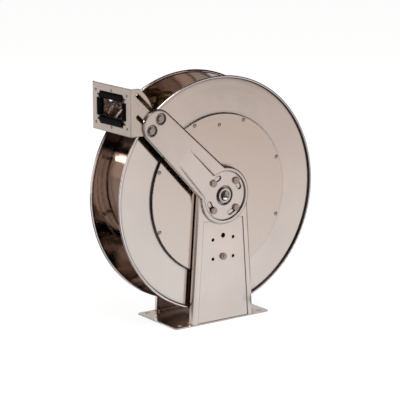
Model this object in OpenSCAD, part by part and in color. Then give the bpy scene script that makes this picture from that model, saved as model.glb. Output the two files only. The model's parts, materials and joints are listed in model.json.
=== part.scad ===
// Spring-rewind hose reel: a spool between two pressed pedestals, with two guide arms
// that carry a four-roller hose guide. Millimetres, +Z up, front face towards -Y.
// The origin is the centre of the base plate's underside; the hose leaves towards -X.

/* [Spool] */
// Outer diameter of the discs over their rolled rims
disc_d = 560; // [500:1:570]
// Height of the axle's centre above the floor
axle_h = 306; // [300:1:340]
// Distance between the centres of the two rolled rims
spool_w = 121; // [110:1:124]
// Diameter of the rolled rim
rim_d = 6.5; // [4:0.1:8]
// Sheet thickness of the discs
disc_t = 1.6; // [1.2:0.1:2]
// How far the flat of the disc lies behind the rim's centre
rim_setback = 2.5; // [1:0.1:3]
// How far the raised middle of each disc reaches past its ring of bolts
plateau_over = 6.5; // [5.5:0.1:15]
// How far the middle is pressed outwards
plateau_rise = 6; // [5.5:0.1:7]
// Room between the rewind spring's case and the drum round it
case_room = 14.4; // [13.5:0.1:15.5]
// Sheet thickness of the drum wall
drum_t = 1.6; // [1.2:0.1:2.5]
// Thickness of the rings welded round the drum's ends
lip_t = 2; // [1.5:0.1:2.2]
// How far the ring of bolts through drum and disc lies outside the drum
disc_bolt_over = 7.5; // [7:0.1:8]
// Number of bolts in that ring
disc_bolts_n = 8; // [4:1:16]

/* [Hub] */
// Diameter of the fixed hollow axle
axle_d = 34; // [30:1:36]
// How far the axle stands out of the pedestal's face
axle_proud = 5; // [3:0.5:8]
// Bore diameter of the inlet port in the axle's front end
inlet_d = 25; // [18:0.5:25]
// Depth of the inlet port
inlet_depth = 22; // [15:1:30]
// Diameter of the water way inside the axle
water_way_d = 16; // [10:1:18]
// Outer diameter of the bearing bushes
bush_d = 48; // [44:1:52]
// Length of the hub boss that holds a bush
hub_len = 14; // [10:1:18]
// Diameter of the hub's flange
hub_flange_d = 120; // [110:1:130]
// Thickness of the hub's flange
hub_flange_t = 6; // [4:0.5:7]
// Radius of the ring of screws through hub and disc
hub_screw_r = 50; // [47:0.5:51]
// Thickness of the flange welded on the axle
axle_flange_t = 6; // [4:0.5:7]
// Diameter of that flange
axle_flange_d = 110; // [109:0.5:112]

/* [Pedestals] */
// Distance between the outer faces of the two pedestals
frame_w = 164; // [164:1:176]
// Sheet thickness of the pedestals
pedestal_t = 3; // [2.5:0.1:3.5]
// Width of a pedestal at the floor
pedestal_foot_w = 182; // [170:1:190]
// Width of a pedestal level with the axle
pedestal_hub_w = 139.6; // [139:0.2:142]
// How deep a pedestal's edges are turned back
pedestal_edge = 14; // [10:0.5:14]
// Radius of the bend along a pedestal's edges
pedestal_bend_r = 8; // [5:0.5:9]
// How deep the middle panel is pressed in
panel_depth = 2; // [1:0.1:2.2]
// Width of the plain border beside the panel
panel_border = 17; // [14:0.5:20]
// Distance from the axle down to the panel's top edge
panel_drop = 58; // [57.5:0.5:66]
// Depth of the foot turned in on the base plate
foot_depth = 20; // [15:0.5:22]
// Distance across between the four holes for accessories in the pedestal's face
accessory_x = 58.8; // [50:0.2:64]
// Distance up and down between these four holes
accessory_z = 46.5; // [40:0.5:50]
// Height of their middle above the floor
accessory_mid = 178.25; // [175:0.25:182]
// Diameter of these four holes
accessory_d = 8; // [5:0.5:9]
// Diameter of the drain hole between the upper two
drain_d = 11.5; // [8:0.5:13]
// Length of the base plate
base_l = 274; // [250:1:300]
// Thickness of the base plate
base_t = 3.2; // [2:0.1:5]
// Distance between the fixing holes along the base plate
base_hole_x = 234; // [220:1:240]
// Distance between the fixing holes across the base plate
base_hole_y = 136; // [120:1:140]
// Diameter of the fixing holes
base_hole_d = 11; // [9:0.5:13]

/* [Guide arms] */
// Angle of the arms above the horizontal, towards the hose
arm_angle = 44.2; // [43:0.1:46]
// Depth of the pressed arm, from its face to the pedestal
arm_depth = 7; // [6:0.1:9]
// Sheet thickness of the arm
arm_t = 3; // [2:0.1:3]
// Radius of the arm's round hub end
arm_hub_r = 68; // [66:0.5:69]
// Width of the arm where it leaves the hub
arm_w_hub = 101; // [95:1:104]
// Radius of the arm's far end
arm_tip_r = 39.5; // [37:0.5:41]
// Distance from the axle to the centre of the far end
arm_len = 262; // [258:1:268]
// Radius of the bend along the arm's edges
arm_bend_r = 3.5; // [3:0.1:4]
// Radius of the pressed-in seat round the axle
seat_r = 59; // [57:0.5:60]
// Depth of the pressed-in seats
seat_depth = 4; // [3:0.1:4]
// Distance from the axle at which the channel in the arm runs out
channel_end = 158; // [140:1:170]
// Upper edge of the channel, measured from the arm's centre line
channel_high = 15; // [10:0.5:20]
// Lower edge of the channel level with the axle, measured from the arm's centre line
channel_low = 43.5; // [38:0.5:43.5]
// Lower edge of the channel where it runs out
channel_low_end = 29.5; // [24:0.5:34]
// Diameter of the hole round the axle in arm and pedestal
axle_hole_d = 46; // [42:1:50]
// Radius of the ring of hub bolts
hub_bolt_r = 45.6; // [42:0.2:47]
// Shank diameter of the hub bolts
hub_bolt_d = 9.5; // [8:0.1:10]
// Width across flats of the hexagon heads and nuts
hex_af = 14.3; // [13:0.1:16]
// Height of the hexagon heads and nuts
hex_h = 6; // [5:0.1:6.5]
// Angle through which an arm can be set round the axle
arm_slot_sweep = 25; // [15:1:30]
// Distance from the axle to the two bolts at the arm's far end
end_bolt_u = 269; // [265:0.5:272]
// Distance between these two bolts
end_bolt_gap = 34.8; // [30:0.2:38]
// Shank diameter of these bolts
end_bolt_d = 8; // [6:0.1:8]
// Radius of the pressed-in seats round these bolts
end_seat_r = 13; // [11:0.5:13.5]

/* [Hose guide] */
// Distance from the axle to the front of the guide plate
guide_x = 257.2; // [254:0.1:262]
// Height of the guide plate
guide_h = 109; // [105:1:115]
// Height of the middle of the guide plate above the axle
guide_z = 218; // [212:0.5:222]
// Sheet thickness of the guide bracket
guide_t = 2.5; // [2:0.1:3]
// Diameter of the guide rollers
roller_d = 16.5; // [14:0.5:18]
// Length of the top and bottom rollers
long_roller_l = 94; // [86:1:94]
// Length of the two side rollers
side_roller_l = 38; // [34:0.5:38]
// Distance from the ends of the long rollers to the side rollers' centres
side_roller_out = 5; // [4:0.1:6]
// Distance between the centres of the top and bottom rollers
long_roller_gap = 56.2; // [56:0.1:60]
// Diameter of the roller pins
pin_d = 4; // [3:0.1:4]
// Thickness of the frame that holds the pins
roller_frame_t = 7; // [6:0.5:9]
// Width of the frame outside the centres of the side rollers
frame_side_w = 21; // [19:0.5:22]
// Height of the frame above and below the centres of the long rollers
frame_end_h = 18.9; // [18:0.1:20]
// Radius of the side plates' curved back edge
side_edge_r = 90; // [86:1:94]
// Radius of the side plates' noses round the arm's end bolts
side_nose_r = 14; // [12:0.5:15]
// Slope of the rear side plate's top edge behind the guide plate
rear_slope = 24; // [22:1:28]
// Distance behind the guide plate at which the slots for the end bolts stop
slot_stop = 18; // [16:0.5:24]

/* [Latch] */
// Outer diameter of the ratchet wheel
ratchet_d = 128; // [126:0.5:129]
// Thickness of the ratchet wheel
ratchet_t = 6; // [5:0.1:6]
// Number of ratchet teeth
teeth_n = 8; // [4:1:8]
// Depth of the ratchet teeth
tooth_depth = 8; // [7:0.5:10]
// Angle round the axle that the gap before a tooth spans
tooth_sweep = 39; // [37:0.5:41]
// Angle round the axle from the locked nose to the tooth's steep side
tooth_lead = 15; // [14:0.5:17]
// Distance from the axle down to the pawl's pivot
pawl_drop = 148; // [146:0.5:150]
// Angle round the axle between straight down and the locked nose
pawl_side = 12.7; // [11:0.1:14]
// How far the locked nose reaches into the ratchet wheel
pawl_bite = 6; // [5:0.1:6.5]
// Radius of the pawl's nose
pawl_nose_r = 3.5; // [3:0.1:4]
// Thickness of the pawl's blade
pawl_t = 4; // [3:0.1:4.2]
// Angle through which the pawl swings clear of the wheel
pawl_swing = 12; // [11:0.5:16]

/* [Water way] */
// Distance of the swivel's centre line in front of the spool's centre
swivel_y = 28; // [26:0.5:29]
// Width of the swivel
swivel_w = 32; // [28:1:32]
// Outer diameter of the swivel
swivel_d = 62; // [58:1:66]
// Outer diameter of the riser pipe
riser_d = 18; // [14:0.5:18]
// Diameter of the outlet elbow
elbow_d = 22; // [20:0.5:24]
// Distance from the riser's centre line to the elbow's mouth
elbow_reach = 24; // [22:0.5:30]
// Height of the outlet's centre line above the drum, with room for the hose's coupling
outlet_rise = 33; // [31:0.5:36]
// How far the elbow's shank reaches into the drum
elbow_shank = 30; // [26:1:34]
// Bore diameter of the outlet for the hose
outlet_d = 17; // [12:0.5:17]
// Depth of that bore
outlet_depth = 16; // [12:0.5:18]

/* [Rewind spring] */
// Diameter of the spring's case
case_d = 320; // [300:1:326]
// Sheet thickness of the case
case_t = 2; // [1.5:0.1:2.5]
// Depth of the case inside
case_depth = 55; // [50:0.5:56]
// Thickness of the spring strip
strip_t = 1.2; // [0.8:0.1:1.6]
// Width of the spring strip
strip_w = 36; // [30:0.5:36]
// Number of turns of the spring
spring_turns = 11; // [6:1:14]
// Diameter of the arbor that holds the spring's inner end
arbor_d = 48; // [44:1:50]

/* [Clearances] */
// Radial clearance of turning fits
run_fit = 0.05; // [0.02:0.01:0.1]
// Gap between pieces that pass each other
pass_gap = 0.3; // [0.2:0.05:0.5]
// Radial clearance of bolt holes
hole_fit = 0.4; // [0.2:0.1:0.8]

/* [Hidden] */

steel = [0.80, 0.76, 0.73];
dark_steel = [0.55, 0.52, 0.50];
zinc = [0.72, 0.69, 0.66];
black = [0.08, 0.08, 0.09];
spring_blue = [0.30, 0.31, 0.36];
bronze = [0.66, 0.50, 0.30];

fine = 128; // facets of large round forms
smooth = 48; // facets of small ones
hull_fn = 32; // facets of rounded forms inside a hull

// Distances outwards from the middle of the reel. The rear side is drawn, the front mirrored.
rim_o = spool_w / 2;
face_o = rim_o - rim_setback;
plateau_o = face_o + plateau_rise;
plateau_in = plateau_o - disc_t;
drum_d = case_d + 2 * (case_room + drum_t);
disc_bolt_r = drum_d / 2 + disc_bolt_over;
plateau_r = disc_bolt_r + plateau_over;
step_run = plateau_rise * 0.4;
step_shift = disc_t * 0.67;
frame_o = frame_w / 2;
pedestal_in = frame_o - pedestal_t;
axle_flange_o = pedestal_in - axle_flange_t;
arm_o = frame_o + arm_depth;
seat_o = arm_o - seat_depth;

axle_r = axle_d / 2;
bush_flange_t = 2.6;
bush_flange_r = bush_d / 2 + 5;
disc_hole_r = bush_flange_r + 1;
hub_boss_r = bush_d / 2 + 10;
hub_screws_n = 6;
hub_screw_d = 6;
disc_bolt_d = 5;
disc_nut_af = 8;
hex_face_share = 0.95;
hex_turn = 30;
shank_point = 0.8;
disc_nut_h = 3.2;
low_head_h = 2.4;
ring_t = 1.6;
ring_depth = 1;
ring_play = 0.2;
ring_places = [for (y = [-1, 1]) -swivel_y + y * (swivel_w / 2 + ring_t)];
seal_places = [for (y = [-1, 1]) -swivel_y + y * 10];
seal_d = 3.5;
seal_room = 4;

pedestal_lean = (pedestal_foot_w - pedestal_hub_w) / 2 / axle_h;
pedestal_lean_len = sqrt(1 + pedestal_lean * pedestal_lean);
pedestal_top_r = pedestal_hub_w / 2 / pedestal_lean_len;
panel_top = axle_h - panel_drop;

roller_r = roller_d / 2;
guide_back_x = -guide_x + guide_t;
side_plate_l = 107;
side_edge_x = 28.8;
side_edge_z = 20;
side_neck_l = 40;
side_neck_half = 19;
side_roller_gap = long_roller_l + 2 * side_roller_out;
pin_slot_w = pin_d * 0.75;
pin_x = guide_back_x + sqrt(pow(pin_d / 2, 2) - pow(pin_slot_w / 2, 2)) + 0.03;
window_z = axle_h + guide_z;
roller_room = roller_r + 1;
long_pin_l = long_roller_l + 22;
side_pin_l = side_roller_l + 11;
pin_slot_over = 0.6;
guide_screw_d = 3.5;
guide_screw_y = side_roller_gap / 2 + 13;
guide_screw_z = long_roller_gap / 2 + 9.4;
guide_mid_z = long_roller_gap / 2 + 14.4;
guide_screw_places = [
  for (z = [-1, 1])
    each [[-guide_screw_y, z * guide_screw_z], [0, z * guide_mid_z], [guide_screw_y, z * guide_screw_z]]
];

ratchet_o = plateau_o + ratchet_t;
pawl_o = ratchet_o - pawl_t;
pawl_boss_r = 9;
pawl_pin_d = 8;

elbow_z = drum_d / 2 + outlet_rise;
elbow_foot = drum_d / 2 - elbow_shank;
elbow_seat = 10;
riser_clip_z = disc_bolt_r - 19;
case_front = plateau_in - case_t - case_depth;

// ---- helpers ----

// Extrudes a shape of the X-Z plane along Y, from y to y + t
module slab(y, t) {
  translate([0, y + t, 0])
    rotate([90, 0, 0])
      linear_extrude(t)
        children();
}

// Turns a profile of (radius, y) about the axle
module turned() {
  translate([0, 0, axle_h])
    rotate([-90, 0, 0])
      rotate_extrude($fn = fine)
        children();
}

// A round bar along Y, from y to y + h
module rod_y(r, y, h) {
  translate([0, y, 0])
    rotate([-90, 0, 0])
      cylinder(r = r, h = h, $fn = smooth);
}

// A hexagon along Y, from y to y + h, whose corners are turned off at its outer end.
// A nut has them turned off at both ends
module hex_y(af, y, h, nut = false) {
  corner_r = af / 2 / cos(30);
  face_r = af / 2 * hex_face_share;
  wide_r = corner_r + 1;
  turn = (wide_r - face_r) * tan(hex_turn);
  foot = nut ? [[0, 0], [face_r, 0], [wide_r, turn]] : [[0, -1], [wide_r, -1]];
  translate([0, y, 0])
    rotate([-90, 0, 0])
      intersection() {
        translate([0, 0, nut ? -1 : 0])
          rotate([0, 0, 30])
            cylinder(r = corner_r, h = h + 2, $fn = 6);
        rotate_extrude($fn = smooth)
          polygon(concat(foot, [[wide_r, h - turn], [face_r, h], [0, h]]));
      }
}

// A bolt's shank along Y, from y to y + h, with its free end at y pointed
module shank_y(r, y, h) {
  translate([0, y, 0])
    rotate([-90, 0, 0])
      rotate_extrude($fn = smooth)
        polygon([[0, 0], [r - shank_point, 0], [r, shank_point], [r, h], [0, h]]);
}

// Places children round the axle, at radius r and the given angle above +X
module round_axle(r, angle) {
  translate([r * cos(angle), 0, axle_h + r * sin(angle)])
    children();
}

module front() {
  mirror([0, 1, 0])
    children();
}

module both_sides() {
  children();
  front()
    children();
}

// ---- stand ----

module base_plate() {
  corner_r = 6;
  color(steel)
    difference() {
      linear_extrude(base_t)
        union() {
          square([base_l - 2 * corner_r, frame_w], center = true);
          square([base_l, frame_w - 2 * corner_r], center = true);
          for (x = [-1, 1], y = [-1, 1])
            translate([x * (base_l / 2 - corner_r), y * (frame_w / 2 - corner_r)])
              circle(r = corner_r, $fn = smooth);
        }
      for (x = [-1, 1], y = [-1, 1])
        translate([x * base_hole_x / 2, y * base_hole_y / 2, -1])
          cylinder(d = base_hole_d, h = base_t + 2, $fn = smooth);
    }
}

// Outline of a pedestal, drawn in by inset, from the height z0 up
module pedestal_outline(inset, z0) {
  foot = pedestal_foot_w / 2 - inset * pedestal_lean_len - pedestal_lean * z0;
  top_r = pedestal_top_r - inset;
  meet_x = top_r / pedestal_lean_len;
  meet_z = axle_h + top_r * pedestal_lean / pedestal_lean_len;
  union() {
    polygon([[-foot, z0], [foot, z0], [meet_x, meet_z], [-meet_x, meet_z]]);
    translate([0, axle_h])
      circle(r = top_r, $fn = 72);
  }
}

// Solid form of a pedestal with rounded front edges, drawn in by inset on every side
module pedestal_form(inset, z0) {
  bend = pedestal_bend_r - inset;
  top = frame_o - inset;
  back = frame_o - pedestal_edge - inset;
  hull() {
    slab(back, top - bend - back)
      pedestal_outline(inset, z0);
    for (a = [22.5 : 22.5 : 90])
      slab(top - bend * (1 - sin(a)) - 0.02, 0.02)
        pedestal_outline(inset + bend * (1 - cos(a)), z0);
  }
}

module pedestal_panel(inset) {
  top_w = pedestal_foot_w / 2 - pedestal_lean * panel_top - panel_border - inset;
  foot_w = pedestal_foot_w / 2 - panel_border - inset;
  polygon([
    [-foot_w, base_t - 1], [foot_w, base_t - 1],
    [top_w, panel_top - inset], [-top_w, panel_top - inset]
  ]);
}

module pedestal() {
  inner_panel = pedestal_t * 0.4;
  difference() {
    union() {
      difference() {
        pedestal_form(0, base_t);
        pedestal_form(pedestal_t, -1);
      }
      slab(pedestal_in - panel_depth, panel_depth + 1)
        intersection() {
          pedestal_panel(-inner_panel);
          pedestal_outline(pedestal_t, base_t);
        }
      translate([0, pedestal_in - foot_depth, base_t])
        translate([-pedestal_foot_w / 2 + pedestal_t, 0, 0])
          cube([pedestal_foot_w - 2 * pedestal_t, foot_depth + 0.5, pedestal_t]);
    }
    slab(frame_o - panel_depth, panel_depth + 1)
      pedestal_panel(0);
    translate([0, 0, axle_h])
      pedestal_hole(axle_hole_d);
    for (a = [45 : 90 : 315])
      round_axle(hub_bolt_r, a)
        pedestal_hole(hub_bolt_d + 2 * hole_fit);
    for (x = [-1, 1], z = [-1, 1])
      translate([x * accessory_x / 2, 0, accessory_mid + z * accessory_z / 2])
        pedestal_hole(accessory_d);
    translate([0, 0, accessory_mid + accessory_z / 2 + 7.5])
      pedestal_hole(drain_d);
    round_axle(pawl_drop, 270)
      pedestal_hole(pawl_pin_d + 0.2);
  }
}

// A hole through the pedestal's sheet
module pedestal_hole(d) {
  rod_y(d / 2, pedestal_in - panel_depth - 1, pedestal_t + panel_depth + 2);
}

module front_pedestal() {
  color(steel)
    front()
      pedestal();
}

module rear_pedestal() {
  color(steel)
    pedestal();
}

// ---- axle ----

module axle() {
  front_end = -frame_o - axle_proud;
  rear_end = frame_o + axle_proud;
  color(zinc)
    translate([0, 0, axle_h])
      difference() {
        rod_y(axle_r, front_end, rear_end - front_end);
        rod_y(inlet_d / 2, front_end - 1, inlet_depth + 1);
        rod_y(water_way_d / 2, front_end, -swivel_y + water_way_d / 2 - front_end);
        for (a = [0, 90])
          translate([0, -swivel_y, 0])
            rotate([0, a, 0])
              cylinder(r = 5, h = axle_d + 2, center = true, $fn = smooth);
        for (y = ring_places)
          rotate([-90, 0, 0])
            rotate_extrude($fn = fine)
              translate([axle_r - ring_depth, y - ring_t / 2 - ring_play])
                square([3, ring_t + 2 * ring_play]);
      }
}

module axle_flanges() {
  color(zinc)
    both_sides()
      difference() {
        turned()
          translate([axle_r + run_fit, axle_flange_o])
            square([axle_flange_d / 2 - axle_r - run_fit, axle_flange_t]);
        for (a = [45 : 90 : 315])
          round_axle(hub_bolt_r, a)
            rod_y(hub_bolt_d / 2 + run_fit, axle_flange_o - 1, axle_flange_t + 2);
      }
}

module thrust_spacers() {
  bush_top = plateau_in + bush_flange_t + pass_gap;
  color(bronze)
    both_sides()
      turned()
        translate([axle_r + run_fit, bush_top])
          square([8, axle_flange_o - bush_top]);
}

module hub_bolts() {
  shank = seat_o - axle_flange_o - 1;
  color(zinc)
    both_sides()
      for (a = [45 : 90 : 315])
        round_axle(hub_bolt_r, a) {
          shank_y(hub_bolt_d / 2, seat_o - shank, shank + 1);
          hex_y(hex_af, seat_o, hex_h);
        }
}

// ---- guide arms ----

// Turns children whose X axis lies along the arm, away from the axle, into place
module along_arm() {
  translate([0, 0, axle_h])
    mirror([1, 0, 0])
      rotate([0, -arm_angle, 0])
        children();
}

module arm_strip_outline(inset) {
  hub_half = arm_w_hub / 2 - inset;
  tip_half = arm_tip_r - inset;
  union() {
    polygon([[0, -hub_half], [arm_len, -tip_half], [arm_len, tip_half], [0, hub_half]]);
    translate([arm_len, 0])
      circle(r = tip_half, $fn = fine);
  }
}

// Strip of the arm with rounded edges, drawn in by inset
module arm_strip(inset) {
  bend = max(arm_bend_r - inset, 0.2);
  top = arm_o - inset;
  back = frame_o - inset;
  hull() {
    slab(back, top - bend - back)
      arm_strip_outline(inset);
    for (a = [30 : 30 : 90])
      slab(top - bend * (1 - sin(a)) - 0.02, 0.02)
        arm_strip_outline(inset + bend * (1 - cos(a)));
  }
}

// Round hub end of the arm, drawn in by inset
module arm_hub(inset) {
  bend = max(arm_bend_r - inset, 0.2);
  r = arm_hub_r - inset;
  top = arm_o - inset;
  rotate([-90, 0, 0])
    rotate_extrude($fn = fine)
      union() {
        translate([0, frame_o - inset])
          square([r, top - frame_o + inset - bend]);
        translate([0, frame_o - inset])
          square([r - bend, top - frame_o + inset]);
        translate([r - bend, top - bend])
          circle(r = bend, $fn = smooth);
      }
}

// A round seat pressed in to the level of the pedestal, as a cup with its wall
module seat_cup(r) {
  rod_y(r + arm_t, frame_o, arm_depth - 0.5);
}

// The channel pressed into the arm, grown sideways and moved inwards
module arm_channel(grow, deep) {
  slope_top = channel_end + grow * 2;
  intersection() {
    translate([0, 0, -channel_low - grow])
      linear_extrude(channel_high + channel_low + 2 * grow)
        polygon([
          [0, seat_o - deep], [seat_r, seat_o - deep], [slope_top, arm_o - deep],
          [slope_top, arm_o + 1], [0, arm_o + 1]
        ]);
    slab(frame_o - 5, arm_depth + 10)
      polygon([
        [-1, -channel_low - grow], [slope_top, -channel_low_end - grow],
        [slope_top, channel_high + grow], [-1, channel_high + grow]
      ]);
  }
}

// A slot round the axle, through which an arm's hub bolt passes
module arm_slot(a) {
  half = hub_bolt_d / 2 + 0.75;
  rotate([-90, 0, 0]) {
    rotate([0, 0, -a])
      rotate_extrude(angle = arm_slot_sweep, $fn = fine)
        translate([hub_bolt_r - half, frame_o - 1])
          square([2 * half, arm_depth + 2]);
    for (end = [0, arm_slot_sweep])
      rotate([0, 0, -a + end])
        translate([hub_bolt_r, 0, frame_o - 1])
          cylinder(r = half, h = arm_depth + 2, $fn = smooth);
  }
}

module guide_arm() {
  difference() {
    union() {
      difference() {
        along_arm()
          union() {
            arm_strip(0);
            arm_hub(0);
          }
        along_arm()
          union() {
            arm_strip(arm_t);
            arm_hub(arm_t);
          }
      }
      translate([0, 0, axle_h])
        seat_cup(seat_r);
      along_arm()
        for (v = [-1, 1])
          translate([end_bolt_u, 0, v * end_bolt_gap / 2])
            seat_cup(end_seat_r);
      along_arm()
        intersection() {
          arm_channel(arm_t, arm_t);
          translate([0, frame_o, -arm_w_hub / 2 + 4])
            cube([channel_end + 10, arm_depth - 0.5, arm_w_hub - 8]);
        }
    }
    translate([0, 0, axle_h]) {
      rod_y(seat_r, seat_o, arm_depth);
      rod_y(axle_hole_d / 2, frame_o - 1, arm_depth + 2);
      for (a = [45 : 90 : 315])
        arm_slot(a);
    }
    along_arm() {
      arm_channel(0, 0);
      for (v = [-1, 1])
        translate([end_bolt_u, 0, v * end_bolt_gap / 2]) {
          rod_y(end_seat_r, seat_o, arm_depth);
          rod_y(end_bolt_d / 2 + hole_fit, frame_o - 1, arm_depth + 2);
        }
    }
  }
}

module front_guide_arm() {
  color(steel)
    front()
      guide_arm();
}

module rear_guide_arm() {
  color(steel)
    guide_arm();
}

module at_end_bolts() {
  both_sides()
    along_arm()
      for (v = [-1, 1])
        translate([end_bolt_u, 0, v * end_bolt_gap / 2])
          children();
}

module arm_end_bolts() {
  nut_side = frame_o - guide_t - hex_h - 2;
  color(zinc)
    at_end_bolts() {
      shank_y(end_bolt_d / 2, nut_side, seat_o - nut_side + 1);
      hex_y(hex_af, seat_o, hex_h);
    }
}

module arm_end_nuts() {
  color(zinc)
    at_end_bolts()
      difference() {
        hex_y(hex_af, frame_o - guide_t - hex_h, hex_h, nut = true);
        rod_y(end_bolt_d / 2 + run_fit, frame_o - guide_t - hex_h - 1, hex_h + 2);
      }
}

// ---- hose guide ----

// Outline of the bracket's side plates in the X-Z plane
module guide_side_outline() {
  nose_r = side_nose_r;
  bolt_x = -(end_bolt_u * cos(arm_angle));
  bolt_z = axle_h + end_bolt_u * sin(arm_angle);
  du = end_bolt_gap / 2 * sin(arm_angle);
  union() {
    intersection() {
      translate([-guide_x, window_z - guide_h / 2])
        square([side_plate_l, guide_h]);
      translate([-guide_x - side_edge_x, window_z - side_edge_z])
        circle(r = side_edge_r, $fn = fine);
    }
    translate([bolt_x + du, bolt_z + du])
      circle(r = nose_r, $fn = smooth);
    translate([bolt_x - du, bolt_z - du])
      circle(r = nose_r, $fn = smooth);
    polygon([
      [bolt_x + du + nose_r * 0.7, bolt_z + du - nose_r * 0.7],
      [bolt_x + du + nose_r * 0.6, bolt_z + du + nose_r * 0.8],
      [bolt_x - side_neck_l, bolt_z + side_neck_half],
      [bolt_x - side_neck_l, bolt_z - side_neck_half],
      [bolt_x - du + nose_r * 0.7, bolt_z - du - nose_r * 0.7]
    ]);
  }
}

// Flat outline with round corners, in the X-Y plane
module rounded_rect(x0, x1, half, r) {
  union() {
    translate([x0 + r, -half])
      square([x1 - x0 - r, 2 * half]);
    translate([x0, -half + r])
      square([x1 - x0, 2 * half - 2 * r]);
    for (y = [-half + r, half - r])
      translate([x0 + r, y])
        circle(r = r, $fn = smooth);
  }
}

// The room that the four rollers and their pins need in a plate normal to X
module roller_window(x0, t, room, slots) {
  translate([x0, 0, window_z]) {
    translate([0, -long_roller_l / 2 - room, -long_roller_gap / 2 - roller_r - room])
      cube([t, long_roller_l + 2 * room, long_roller_gap + roller_d + 2 * room]);
    translate([0, -side_roller_gap / 2 - roller_r - room, -side_roller_l / 2 - room])
      cube([t, side_roller_gap + roller_d + 2 * room, side_roller_l + 2 * room]);
    if (slots) {
      for (z = [-1, 1])
        translate([0, -(long_pin_l + pin_slot_over) / 2, z * long_roller_gap / 2 - pin_slot_w / 2])
          cube([t, long_pin_l + pin_slot_over, pin_slot_w]);
      for (y = [-1, 1])
        translate([0, y * side_roller_gap / 2 - pin_slot_w / 2, -(side_pin_l + pin_slot_over) / 2])
          cube([t, pin_slot_w, side_pin_l + pin_slot_over]);
    }
  }
}

module at_guide_screws() {
  for (p = guide_screw_places)
    translate([0, p[0], window_z + p[1]])
      rotate([0, 90, 0])
        children();
}

module guide_bracket() {
  slot_half = end_bolt_d / 2 + hole_fit;
  slot_end = (guide_x - slot_stop) / cos(arm_angle);
  sheet_in = frame_o - guide_t - 1;
  through = guide_t + 2;
  top = window_z + guide_h / 2;
  color(steel)
    difference() {
      intersection() {
        translate([0, 0, window_z - guide_h / 2])
          linear_extrude(guide_h)
            difference() {
              rounded_rect(-guide_x, -guide_x + side_plate_l, frame_o, 2 * guide_t);
              rounded_rect(guide_back_x, -guide_x + side_plate_l + 1, frame_o - guide_t, guide_t);
            }
        slab(-frame_o - 1, frame_w + 2)
          guide_side_outline();
      }
      roller_window(-guide_x - 1, guide_t + 2, 1, true);
      at_guide_screws()
        translate([0, 0, -guide_x - 1])
          cylinder(d = guide_screw_d + 0.3, h = guide_t + 2, $fn = smooth);
      both_sides()
        along_arm()
          for (v = [-1, 1]) {
            far = slot_end + v * end_bolt_gap / 2;
            translate([end_bolt_u, 0, v * end_bolt_gap / 2])
              rod_y(slot_half, sheet_in, through);
            translate([far, 0, v * end_bolt_gap / 2])
              rod_y(slot_half, sheet_in, through);
            translate([end_bolt_u, sheet_in, v * end_bolt_gap / 2 - slot_half])
              cube([far - end_bolt_u, through, 2 * slot_half]);
          }
      slab(sheet_in, through)
        polygon([
          [-guide_x + 2 * guide_t, top], [-guide_x + 2 * guide_t, top + 1],
          [-guide_x + side_plate_l, top + 1],
          [-guide_x + side_plate_l, top - (side_plate_l - 2 * guide_t) * tan(rear_slope)]
        ]);
    }
}

module roller_frame() {
  outer_y = side_roller_gap / 2 + frame_side_w;
  outer_z = long_roller_gap / 2 + frame_end_h;
  color(dark_steel)
    difference() {
      translate([guide_back_x, -outer_y, window_z - outer_z])
        cube([roller_frame_t, 2 * outer_y, 2 * outer_z]);
      roller_window(guide_back_x - 1, roller_frame_t + 2, 1, false);
      pin_places()
        pin_groove();
      at_guide_screws()
        translate([0, 0, guide_back_x - 1])
          cylinder(d = guide_screw_d + 0.06, h = roller_frame_t + 2, $fn = smooth);
    }
}

// Puts a piece drawn along Z, at the middle of each roller, in its place
module long_places() {
  for (z = [-1, 1])
    translate([pin_x, 0, window_z + z * long_roller_gap / 2])
      rotate([-90, 0, 0])
        children();
}

module side_places() {
  for (y = [-1, 1])
    translate([pin_x, y * side_roller_gap / 2, window_z])
      children();
}

module pin_places() {
  long_places()
    with_pin_length(long_pin_l)
      children();
  side_places()
    with_pin_length(side_pin_l)
      children();
}

// Hands the wanted pin length to its children through a special variable
module with_pin_length(l) {
  $pin_l = l;
  children();
}

module pin_groove() {
  translate([0, 0, -$pin_l / 2 - 0.1])
    cylinder(d = pin_d + 0.06, h = $pin_l + 0.2, $fn = smooth);
}

module roller_pins() {
  color(zinc)
    pin_places()
      translate([0, 0, -$pin_l / 2])
        cylinder(d = pin_d, h = $pin_l, $fn = smooth);
}

module guide_screws() {
  color(zinc)
    at_guide_screws()
      translate([0, 0, -guide_x]) {
        cylinder(d = guide_screw_d, h = guide_t + roller_frame_t - 0.5, $fn = smooth);
        translate([0, 0, -1.4])
          cylinder(r1 = 2.4, r2 = 3.3, h = 1.4, $fn = smooth);
      }
}

// A roller drawn along Z: a barrel with eased ends on a running bore
module roller(l) {
  ease = 1;
  rotate_extrude($fn = fine)
    polygon([
      [pin_d / 2 + run_fit, -l / 2], [roller_r - ease, -l / 2], [roller_r, -l / 2 + ease],
      [roller_r, l / 2 - ease], [roller_r - ease, l / 2], [pin_d / 2 + run_fit, l / 2]
    ]);
}

module top_roller() {
  color(black)
    translate([pin_x, 0, window_z + long_roller_gap / 2])
      rotate([-90, 0, 0])
        roller(long_roller_l);
}

module bottom_roller() {
  color(black)
    translate([pin_x, 0, window_z - long_roller_gap / 2])
      rotate([-90, 0, 0])
        roller(long_roller_l);
}

module front_side_roller() {
  color(black)
    translate([pin_x, -side_roller_gap / 2, window_z])
      roller(side_roller_l);
}

module rear_side_roller() {
  color(black)
    translate([pin_x, side_roller_gap / 2, window_z])
      roller(side_roller_l);
}

// ---- spool ----

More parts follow.
